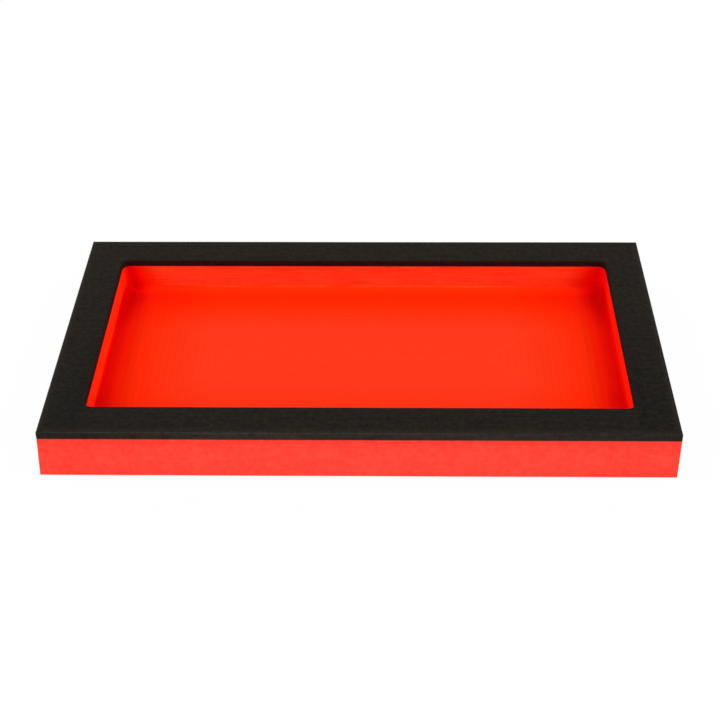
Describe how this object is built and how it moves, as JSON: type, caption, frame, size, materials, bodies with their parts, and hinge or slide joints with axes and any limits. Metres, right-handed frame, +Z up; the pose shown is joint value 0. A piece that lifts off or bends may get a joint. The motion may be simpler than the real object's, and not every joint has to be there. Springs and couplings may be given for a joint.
{
  "type": "foam storage tray",
  "caption": "Flat two-colour foam tray: a black sheet bonded on a red block, with a wide shallow pocket milled into it to hold small tools and parts.",
  "frame": {"origin": "middle of the underside, which lies on the drawer's floor", "axes": "+X along the tray's length, +Y from its front to its back, +Z up out of the pocket"},
  "size_m": [0.345, 0.195, 0.0302],
  "materials": {
    "red_foam": "matt closed-cell foam, sawn on its sides and milled in the pocket",
    "bond_adhesive": "thin film of clear adhesive between the two foams",
    "black_foam": "matt closed-cell foam with a fine-grained skin"
  },
  "bodies": {
    "root": {"base_block": "red_foam", "bond_film": "bond_adhesive", "top_sheet": "black_foam"}
  },
  "joints": []
}
